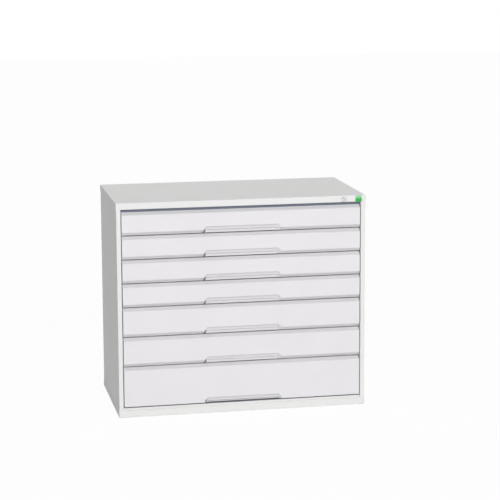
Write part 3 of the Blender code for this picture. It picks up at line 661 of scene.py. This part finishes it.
def make_rail_stiffener():
    """Strip turned down behind the top rail, dark blue-grey as painted shade for the gap above the top
    drawer.
    """
    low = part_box("top_cover")[0].z
    rear = FRONT_Y + RAIL_RETURN
    end = STILE_X - 2 * GAP
    strip = start_block("rail_stiffener", (-end, rear - CARCASS_SHEET, low), (end, rear, RAIL_Z))
    pick_faces(lambda middle, normal: normal.z < -FACING)
    pull((0, 0, -GAP))
    round_folds(strip, GAP, segments=2)
    finish_piece(strip, "carcass", "carcass_paint", INSIDE_PAINTED_SHADE)


def make_base_tray():
    """Tray that the carcass stands in."""
    tray = start_block(
        "base_tray_sheet", (-HALF_WIDTH, FRONT_Y, 0), (HALF_WIDTH, REAR_Y, BASE_SKIRT)
    )
    drop_faces(lambda middle, normal: normal.z > FACING)
    round_folds(tray, BASE_RADIUS, segments=4)
    give_wall(tray, CARCASS_SHEET)
    finish_piece(tray, "carcass", "carcass_paint", CARCASS, "base_tray")


def make_side_panels():
    """Sides, each with its stile folded in front and a flange behind."""
    low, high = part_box("side_panel_right")
    panel = start_block(
        "side_panel_right_sheet", (STILE_X, FRONT_Y, low.z), (SIDE_X, high.y, high.z)
    )
    drop_faces(lambda middle, normal: abs(normal.z) > FACING or normal.x < -FACING)
    front = FRONT_Y + GAP
    pick_edges(lambda middle, way, sides: sides == 1 and middle.y < front and abs(way.z) > FACING)
    pull((0, STILE_RETURN, 0))
    foot = BASE_SKIRT + GAP
    head = RAIL_Z - GAP
    cut = FRONT_Y + STILE_CUT
    cut_across((0, 0, foot), (0, 0, 1))
    cut_across((0, 0, head), (0, 0, 1))
    cut_across((0, cut, 0), (0, 1, 0))
    drop_faces(lambda middle, normal: middle.y < cut and not foot < middle.z < head)
    round_folds(panel, STILE_RADIUS, segments=4)
    give_wall(panel, CARCASS_SHEET)
    other = copy_piece(panel, "side_panel_left_sheet")
    mirror(other)
    finish_piece(panel, "carcass", "carcass_paint", CARCASS, "side_panel_right")
    finish_piece(other, "carcass", "carcass_paint", CARCASS, "side_panel_left")


def rivet_places():
    """Places of the rivets down both edges of the back and along the skirts."""
    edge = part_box("back_panel")[1].x - RIVET_INSET
    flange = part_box("side_panel_right")[1].y + GAP
    places = []
    for row in range(RIVETS_UP):
        z = RIVET_FOOT + RIVET_RISE * row
        places += [(x, flange, z) for x in (-edge, edge)]
    for column in range(RIVETS_ACROSS):
        x = RIVET_START_X + RIVET_PITCH_X * column
        places += [(x, REAR_Y + GAP, z) for z in (BASE_SKIRT / 2, HEIGHT - RIVET_DROP)]
    return places


def make_rivets():
    """Blind rivets on the back, modelled once and copied."""
    rivet = start_disc("rivet", ORIGIN, RIVET_RADIUS, RIVET_LENGTH, sides=20)
    pick_faces(lambda middle, normal: normal.y > FACING)
    inset(RIVET_RIM)
    pull((0, RIVET_DOME, 0))
    inset(RIVET_HOLE_RIM)
    pull((0, -RIVET_HOLE_DEPTH, 0))
    leave_all()
    copies = [
        copy_piece(rivet, "back_rivet_%02d" % number, place)
        for number, place in enumerate(rivet_places())
    ]
    bpy.data.objects.remove(rivet, do_unlink=True)
    for twin in copies:
        finish_piece(twin, "carcass", "zinc", ZINC)


# Drawers

def front_block(name, low, high, fold, depth):
    """Outside of a drawer front, open in edit mode: flat face, bevel above, bevel below."""
    block = start_block(name, low, high)
    upper = Vector((0, -UPPER_BEVEL, UPPER_BEVEL_DEPTH))
    lower = Vector((0, low.z - fold, -depth))
    cut_across((0, low.y, high.z - UPPER_BEVEL), upper.normalized(), clear=True)
    cut_across((0, low.y, fold), lower.normalized(), clear=True)
    return block


def make_brow_tool(name, face, low, fold):
    """Tool for the recess's sloping brow, which narrows towards its step."""
    ahead = CUT_OVER / GRIP_FIRST_DEPTH
    crest = fold + GRIP_RISE
    brow = crest + GRIP_FIRST_RAMP * ahead
    first = crest - GRIP_FIRST_RAMP
    near = face - CUT_OVER
    far = face + GRIP_FIRST_DEPTH
    flare = GRIP_CHEEK * ahead
    narrower = flare + GRIP_CHEEK
    foot = GRIP_FOOT + flare
    crown = GRIP_FOOT - GRIP_SLANT * (first - fold) + flare
    peak = GRIP_CREST - GRIP_SLANT * (brow - crest) + flare
    tool = start_block(name, (-foot, near, low - CUT_OVER), (foot, far, fold))
    pick_faces(lambda middle, normal: normal.z > FACING)
    pull((0, 0, first - fold))
    squeeze((crown / foot, 1, 1))
    pick_corners(lambda corner: corner.y < near + GAP and corner.z > fold + GAP)
    move((0, 0, brow - first))
    squeeze((peak / crown, 1, 1))
    pick_corners(lambda corner: corner.y > far - GAP and corner.z < fold + GAP)
    squeeze((1 - narrower / foot, 1, 1))
    pick_corners(lambda corner: corner.y > far - GAP and corner.z > fold + GAP)
    squeeze((1 - narrower / crown, 1, 1))
    pick_corners(lambda corner: corner.y > far - GAP and corner.z < low)
    move((0, GRIP_FIRST_LEAN, 0))
    return tool


def make_pocket_tool(name, face, low, fold):
    """Tool for the deeper pocket behind the recess's step."""
    near = face + GRIP_FIRST_DEPTH - GRIP_STEP
    far = face + GRIP_SECOND_DEPTH
    top = fold + GRIP_RISE - GRIP_FIRST_RAMP - GRIP_FLAT
    bottom = top - GRIP_SECOND_RAMP
    foot = GRIP_FOOT - GRIP_CHEEK - GRIP_STEP
    tool = start_block(name, (-foot, near, low - CUT_OVER), (foot, far, bottom))
    pick_faces(lambda middle, normal: normal.z > FACING)
    pull((0, 0, top - bottom))
    pick_corners(lambda corner: corner.y < near + GAP and corner.z > bottom + GAP)
    squeeze((1 - GRIP_SLANT * (top - fold) / foot, 1, 1))
    pick_corners(lambda corner: corner.y > far - GAP and corner.z > bottom + GAP)
    move((0, 0, bottom + GAP - top))
    pick_corners(lambda corner: corner.y > far - GAP)
    squeeze(((foot - GRIP_CHEEK) / foot, 1, 1))
    pick_corners(lambda corner: corner.y > far - GAP and corner.z < low)
    move((0, GRIP_SECOND_LEAN, 0))
    return tool


def make_front(number, name):
    """Drawer front: one sheet with bevels, flanges and the pressed grip."""
    low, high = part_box("drawer_front_%d" % number)
    fold = low.z + LOWER_BEVEL
    depth = LOWER_BEVEL_DEPTH
    low.z += LOWER_EDGE_LIFT
    if number == DRAWERS[0]:
        high.z += TOP_EDGE_LIFT
    if number == DRAWERS[-1]:
        fold -= LOWEST_FOLD_DROP
        depth = LOWEST_BEVEL_DEPTH
    front = front_block(name, low, high, fold, depth)
    cut_with(front, make_brow_tool(name + "_brow", low.y, low.z, fold))
    cut_with(front, make_pocket_tool(name + "_pocket", low.y, low.z, fold))
    select_only(front)
    bpy.ops.object.mode_set(mode="EDIT")
    bpy.ops.mesh.select_all(action="SELECT")
    bpy.ops.mesh.remove_doubles(threshold=MERGE_REACH)
    bpy.ops.mesh.dissolve_limited(angle_limit=FLAT_ANGLE)
    drop_faces(lambda middle, normal: middle.y > high.y - GAP)
    pick_edges(lambda middle, way, sides: sides == 1)
    pull(ORIGIN)
    centre = (low + high) / 2
    across = 1 - FRONT_RETURN / high.x
    upright = 1 - FRONT_RETURN / (high.z - centre.z)
    squeeze((across, 1, upright), (0, high.y, centre.z))
    round_folds(front, GRIP_FOLD)
    give_wall(front, DRAWER_SHEET, even=False)
    return front


def make_tray(number, name):
    """Tray with a flanged rim and slots for partitions in its front and rear walls."""
    low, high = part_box("drawer_tray_%d" % number)
    low.x = -TRAY_X
    high.x = TRAY_X
    tray = start_block(name, low, high)
    drop_faces(lambda middle, normal: normal.z > FACING)
    pick_edges(lambda middle, way, sides: sides == 1)
    pull(ORIGIN)
    centre = (low + high) / 2
    across = 1 - RIM_FLANGE / TRAY_X
    along = 1 - RIM_FLANGE / (high.y - centre.y)
    squeeze((across, along, 1), (0, centre.y, high.z))
    pull((0, 0, -RIM_HEM))
    round_folds(tray, TRAY_FOLD)
    give_wall(tray, DRAWER_SHEET)
    reach = Vector((SLOT_WIDTH, RIM_FLANGE, 0)) / 2
    for wall_y in (low.y, high.y):
        tool = start_block(
            name + "_slot",
            Vector((SLOT_START_X, wall_y, low.z + SLOT_INSET)) - reach,
            Vector((SLOT_START_X, wall_y, high.z - SLOT_INSET)) + reach,
        )
        round_corners(SLOT_CORNER, 2, lambda middle, way, sides: abs(way.y) > FACING)
        repeat(tool, SLOT_COUNT, (SLOT_PITCH, 0, 0))
        cut_with(tray, tool)
    return tray


def make_striker(number):
    """Bent tab on the tray's right side that the lock's catch holds."""
    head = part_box("drawer_tray_%d" % number)[1].z - STRIKER_DROP
    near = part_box("lock_bar")[1].y + 2 * GAP
    tab = start_block(
        "striker_%d" % number,
        (TRAY_X, near, head - STRIKER_HEIGHT),
        (TRAY_X + STRIKER_REACH, near + STRIKER_SHEET, head),
    )
    outer = TRAY_X + GAP
    round_corners(
        STRIKER_CORNER, 3, lambda middle, way, sides: abs(way.y) > FACING and middle.x > outer
    )
    pick_faces(lambda middle, normal: normal.x < -FACING)
    pull((0, STRIKER_FOOT, 0))
    finish_piece(tab, "drawer_%d" % number, "zinc", ZINC)


def make_shadow_catches():
    """Small dark catch in the left end of each recess, leaning with its cheek; its dark steel paints
    the shadow that falls into the recess's left end.
    """
    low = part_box("drawer_front_6")[0]
    foot = low.z + LOWER_EDGE_LIFT + GAP
    head = low.z + LOWER_BEVEL
    near = low.y + CATCH_DEPTH
    start = -GRIP_FOOT - 2 * GAP
    catch = start_block(
        "grip_shadow_catch", (start, near, foot), (start + CATCH_WIDTH, near + 2 * CATCH_DEPTH, head)
    )
    pick_faces(lambda middle, normal: normal.z > FACING)
    move((CATCH_LEAN, 0, 0))
    pick_faces(lambda middle, normal: normal.y < -FACING)
    inset(CATCH_RIM)
    move((0, -CATCH_RIM, 0))
    round_folds(catch, CATCH_FOLD)
    for number in DRAWERS:
        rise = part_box("drawer_front_%d" % number)[0].z - low.z
        piece = copy_piece(catch, "grip_catch_%d" % number, (0, 0, rise))
        finish_piece(piece, "drawer_%d" % number, "zinc", CATCH_SHADOW)
    bpy.data.objects.remove(catch, do_unlink=True)


def copy_or_make(known, node, name, make, number):
    """Copy of the first piece of the same height, or that first piece itself."""
    low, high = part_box(node)
    height = round(high.z - low.z, 4)
    if height in known:
        first, first_low = known[height]
        return copy_piece(first, name, low - first_low)
    piece = make(number, name)
    known[height] = (piece, low)
    return piece


def make_drawers():
    """Seven drawers; those of one height are modelled once and copied."""
    fronts = {}
    trays = {}
    for number in DRAWERS:
        body = "drawer_%d" % number
        node = "drawer_front_%d" % number
        front = copy_or_make(fronts, node, "drawer_front_sheet_%d" % number, make_front, number)
        finish_piece(front, body, "drawer_paint", DRAWER, node)
        node = "drawer_tray_%d" % number
        tray = copy_or_make(trays, node, "drawer_tray_sheet_%d" % number, make_tray, number)
        finish_piece(tray, body, "carcass_paint", CARCASS, node)
        make_striker(number)


# Runners

def make_rail(name, web, lip, z, reach, ends, sheet):
    """Runner section: a web with a flange along each edge."""
    low = (min(web, lip), ends[0], z - reach)
    high = (max(web, lip), ends[1], z + reach)
    rail = start_block(name, low, high)
    way = math.copysign(1, lip - web)
    drop_faces(lambda middle, normal: abs(normal.y) > FACING or normal.x * way > FACING)
    round_folds(rail, RUNNER_FOLD)
    give_wall(rail, sheet)
    return rail


def make_ball_cage(name, x, z, start, end):
    """Row of balls held in a thin strip."""
    count = int((end - start) / BALL_PITCH)
    leave_all()
    bpy.ops.mesh.primitive_uv_sphere_add(
        segments=8, ring_count=6, radius=BALL_RADIUS, location=(x, start + BALL_PITCH / 2, z)
    )
    balls = start_piece(name)
    repeat(balls, count, (0, BALL_PITCH, 0))
    reach = Vector((CAGE_WIDTH, 0, CAGE_SHEET)) / 2
    strip = start_block(
        name + "_strip",
        Vector((x, start, z)) - reach,
        Vector((x, start + BALL_PITCH * count, z)) + reach,
    )
    round_corners(CAGE_SHEET / 4, 1, lambda middle, way, sides: abs(way.y) > FACING)
    return join_all([balls, strip])


def make_ball_rows(low, high):
    """Four rows: two above the runner's middle, two below, in one piece."""
    half_way = (low.y + high.y) / 2
    x = (low.x + high.x) / 2
    z = (low.z + high.z) / 2
    outer = MIDDLE_REACH + BALL_RADIUS
    inner = DRAWER_REACH + BALL_RADIUS
    rear = (half_way - BALL_ROW_OVERLAP, high.y - BALL_ROW_INSET)
    front = (low.y + BALL_ROW_INSET, half_way)
    rows = ((outer, rear), (-outer, rear), (inner, front), (-inner, front))
    return join_all([
        make_ball_cage("runner_cage_%d" % number, x, z + height, *ends)
        for number, (height, ends) in enumerate(rows)
    ])


def hang_copy(pattern, name, rise, side, body, finish, *nodes):
    """Copy of a runner's piece at its height, mirrored for the left side."""
    piece = copy_piece(pattern, name, (0, 0, rise))
    if side == "left":
        mirror(piece)
    finish_piece(piece, body, "zinc", finish, *nodes)


def make_runners():
    """Middle rails, their balls and the drawers' rails, modelled once and copied."""
    low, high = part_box("runner_middle_right_7")
    z = (low.z + high.z) / 2
    middle_rail = make_rail(
        "runner_rail", high.x, low.x, z, MIDDLE_REACH, (low.y, high.y), MIDDLE_SHEET
    )
    balls = make_ball_rows(low, high)
    drawer_rail = make_rail(
        "drawer_rail", TRAY_X, TRAY_X + DRAWER_LIP, z, DRAWER_REACH,
        (low.y + DRAWER_RAIL_INSET, high.y - DRAWER_RAIL_INSET), RAIL_SHEET
    )
    for number in DRAWERS:
        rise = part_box("runner_middle_right_%d" % number)[0].z - low.z
        drawer = "drawer_%d" % number
        for side in ("right", "left"):
            middle = "runner_middle_%s_%d" % (side, number)
            rail = "runner_drawer_%s_%d" % (side, number)
            hang_copy(middle_rail, middle + "_sheet", rise, side, middle, ZINC, middle)
            hang_copy(balls, middle + "_balls", rise, side, middle, STEEL)
            hang_copy(drawer_rail, rail, rise, side, drawer, ZINC)
    for pattern in (middle_rail, balls, drawer_rail):
        bpy.data.objects.remove(pattern, do_unlink=True)


# Lock and end plate

def is_shade_mark(middle, normal, level):
    """Whether a face is in the small recess at the upper left of the lock's ring, which is painted
    dark as shade.
    """
    out = Vector((middle.x - LOCK_X, 0, middle.z - LOCK_Z))
    on_ring = MARK_INNER < out.length < MARK_OUTER and abs(middle.y - level) < GAP
    return on_ring and normal.y < -FACING and out.normalized().dot(MARK_WAY) > MARK_COSINE


def shape_lock_face(near, bore):
    """Bevel the open disc's front, groove its rim, dish it and sink its bore."""
    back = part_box("lock_housing")[1].y
    front = near + GAP
    round_corners(LOCK_BEVEL, 3, lambda middle, way, sides: middle.y < front)
    pick_faces(lambda middle, normal: normal.y < -SQUARELY and middle.y < front)
    inset(LOCK_RIM)
    move((0, LOCK_GROOVE, 0))
    inset(LOCK_GROOVE)
    move((0, -LOCK_GROOVE, 0))
    inset(LOCK_RING)
    inset(LOCK_SLOPE)
    move((0, LOCK_DISH, 0))
    rings = LOCK_BEVEL + LOCK_RIM + LOCK_GROOVE + LOCK_RING + LOCK_SLOPE
    inset(LOCK_RADIUS - rings - bore)
    pull((0, back - near - LOCK_DISH, 0))
    bpy.ops.mesh.delete(type="FACE")
    pick_faces(lambda middle, normal: normal.y > SQUARELY and abs(middle.y - FRONT_Y) < GAP)
    inset(LOCK_RADIUS - LOCK_BARREL)
    pull((0, back - FRONT_Y, 0))
    inset(LOCK_BARREL - bore)
    bpy.ops.mesh.delete(type="FACE")
    bpy.ops.mesh.select_all(action="SELECT")
    bpy.ops.mesh.remove_doubles(threshold=LOCK_MERGE_REACH)


def make_lock_face():
    """Round nickel face of the lock, dished around the plug, on its barrel."""
    near = FRONT_Y - LOCK_PROUD
    face = start_disc(
        "lock_face", (LOCK_X, near + LOCK_PROUD / 2, LOCK_Z), LOCK_RADIUS, LOCK_PROUD, sides=64
    )
    shape_lock_face(near, PLUG_RADIUS + GAP)
    pick_faces(lambda middle, normal: is_shade_mark(middle, normal, near))
    inset(MARK_RIM)
    pull((0, MARK_DEPTH, 0))
    finish_piece(face, "carcass", "lock_metal", NICKEL, "lock_housing")
    # The small recess on the ring is painted dark as shade
    face.data.materials.append(KEYWAY_SHADE)
    # Darker nickel for the outer rim and side of the face: painted shade around the disc's edge
    face.data.materials.append(LOCK_EDGE_SHADE)
    for part in face.data.polygons:
        out = math.hypot(part.center.x - LOCK_X, part.center.z - LOCK_Z)
        if is_shade_mark(part.center, part.normal, near + MARK_DEPTH):
            part.material_index = 1
        elif out > LOCK_RADIUS - LOCK_EDGE_SHADE_WIDTH:
            part.material_index = 2


def make_plug_face():
    """Plug with a countersunk keyway."""
    low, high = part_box("lock_plug")
    near = low.y
    front = near + GAP
    plug = start_disc(
        "lock_plug_turned", (LOCK_X, (near + high.y) / 2, LOCK_Z), PLUG_RADIUS, high.y - near, sides=40
    )
    round_corners(PLUG_BEVEL, 2, lambda middle, way, sides: middle.y < front)
    pick_faces(lambda middle, normal: normal.y < -SQUARELY and middle.y < front)
    inset(PLUG_RIM)
    pull((0, PLUG_RECESS, 0))
    squeeze((PLUG_TAPER, 1, PLUG_TAPER), (LOCK_X, near, LOCK_Z))
    keyway = start_block(
        "keyway_tool",
        (LOCK_X - KEYWAY_HALF_WIDTH, near - CUT_OVER, LOCK_Z - KEYWAY_HALF_HEIGHT),
        (LOCK_X + KEYWAY_HALF_WIDTH, near + KEYWAY_DEPTH, LOCK_Z + KEYWAY_HALF_HEIGHT),
    )
    cut_with(plug, keyway)
    finish_piece(plug, "lock_barrel", "lock_metal", NICKEL, "lock_plug")
    # The keyway's deep faces are painted dark, as the shade inside the slot
    plug.data.materials.append(KEYWAY_SHADE)
    for part in plug.data.polygons:
        out = math.hypot(part.center.x - LOCK_X, part.center.z - LOCK_Z)
        in_keyway_shade = near + PLUG_RECESS + GAP < part.center.y < near + KEYWAY_DEPTH + GAP
        if in_keyway_shade and out < PLUG_RADIUS - PLUG_RIM:
            part.material_index = 1


def make_end_plate():
    """Plain plate with rounded corners and a raised edge."""
    low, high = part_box("end_plate")
    plate = start_block("end_plate_enamel", low - PLATE_MARGIN, high + PLATE_MARGIN)
    round_corners(PLATE_CORNER, 5, lambda middle, way, sides: abs(way.y) > FACING)
    pick_faces(lambda middle, normal: normal.y < -FACING)
    inset(PLATE_RIM)
    move((0, -PLATE_PROUD, 0))
    inset(PLATE_RIM)
    move((0, PLATE_SINK, 0))
    finish_piece(plate, "carcass", "end_plate", PLATE, "end_plate")


def finish_frame_nodes():
    """Finishes for the CAD nodes that stay."""
    for name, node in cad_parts.items():
        if name.startswith(("runner", "upright", "lock_")):
            finish = ZINC
        elif name == "carcass_floor":
            finish = FLOOR_COAT_AND_SHADE
        else:
            finish = CARCASS
        node.data.materials.clear()
        node.data.materials.append(finish)


# Floor, background and light

def mix_shaders(tree, first, second):
    """Mix of two shaders, whose share is still to be set."""
    mix = tree.nodes.new("ShaderNodeMixShader")
    tree.links.new(first, mix.inputs[1])
    tree.links.new(second, mix.inputs[2])
    return mix


def either(tree, first, second):
    """Value that is 1 where one of two values is."""
    larger = tree.nodes.new("ShaderNodeMath")
    larger.operation = "MAXIMUM"
    tree.links.new(first, larger.inputs[0])
    tree.links.new(second, larger.inputs[1])
    return larger.outputs["Value"]


def make_floor():
    """Plain white floor that keeps the cabinet's shadow."""
    leave_all()
    bpy.ops.mesh.primitive_plane_add(size=FLOOR_SIZE, location=(0, 0, -GAP))
    floor = bpy.context.object
    floor.name = "floor"
    bpy.ops.object.transform_apply(location=True, rotation=True, scale=True)
    finish = bpy.data.materials.new("floor_white")
    finish.use_nodes = True
    tree = finish.node_tree
    matt = tree.nodes["Principled BSDF"]
    matt.inputs["Base Color"].default_value = FLOOR_GREY
    matt.inputs["Roughness"].default_value = 0.9
    matt.inputs["Specular IOR Level"].default_value = 0.0
    pale = tree.nodes.new("ShaderNodeBsdfDiffuse")
    pale.inputs["Color"].default_value = WHITE
    white = tree.nodes.new("ShaderNodeEmission")
    white.inputs["Strength"].default_value = 1.0
    seen = mix_shaders(tree, pale.outputs["BSDF"], white.outputs["Emission"])
    seen.inputs["Fac"].default_value = FLOOR_GLOW
    rays = tree.nodes.new("ShaderNodeLightPath").outputs
    mix = mix_shaders(tree, matt.outputs["BSDF"], seen.outputs["Shader"])
    tree.links.new(either(tree, rays["Is Camera Ray"], rays["Is Glossy Ray"]), mix.inputs["Fac"])
    tree.links.new(mix.outputs["Shader"], tree.nodes["Material Output"].inputs["Surface"])
    floor.data.materials.append(finish)


def light_world(strength):
    """Even light from all round, with a white background."""
    world = bpy.data.worlds.new("studio")
    bpy.context.scene.world = world
    world.use_nodes = True
    tree = world.node_tree
    soft = tree.nodes["Background"]
    soft.inputs["Color"].default_value = WHITE
    soft.inputs["Strength"].default_value = strength
    white = tree.nodes.new("ShaderNodeBackground")
    white.inputs["Color"].default_value = WHITE
    white.inputs["Strength"].default_value = 1.0
    rays = tree.nodes.new("ShaderNodeLightPath").outputs
    seen = either(tree, rays["Is Camera Ray"], rays["Is Glossy Ray"])
    clear = either(tree, seen, rays["Is Transmission Ray"])
    mix = mix_shaders(tree, soft.outputs["Background"], white.outputs["Background"])
    tree.links.new(clear, mix.inputs["Fac"])
    tree.links.new(mix.outputs["Shader"], tree.nodes["World Output"].inputs["Surface"])


def add_key(name, turn, rise, strength, softness):
    """Soft light without glare, in degrees from straight ahead and above level."""
    lamp = bpy.data.lights.new(name, "SUN")
    lamp.energy = strength
    lamp.angle = math.radians(softness)
    item = bpy.data.objects.new(name, lamp)
    bpy.context.scene.collection.objects.link(item)
    around = math.radians(turn)
    above = math.radians(rise)
    level = math.cos(above)
    source = Vector((math.sin(around) * level, -math.cos(around) * level, math.sin(above)))
    item.rotation_euler = source.to_track_quat("Z", "Y").to_euler()
    item.visible_glossy = False


place_camera()
make_top_cover()
make_rail_stiffener()
make_base_tray()
make_side_panels()
make_rivets()
make_drawers()
make_shadow_catches()
make_runners()
make_lock_face()
make_plug_face()
make_end_plate()
finish_frame_nodes()
make_floor()
light_world(strength=0.285)
add_key("key", turn=-12, rise=5, strength=1.53, softness=25)
add_key("fill", turn=15, rise=17, strength=1.05, softness=25)
add_key("overhead", turn=0, rise=88, strength=0.36, softness=10)
add_key("rear", turn=180, rise=50, strength=0.52, softness=10)
bpy.context.scene.view_settings.view_transform = "Standard"
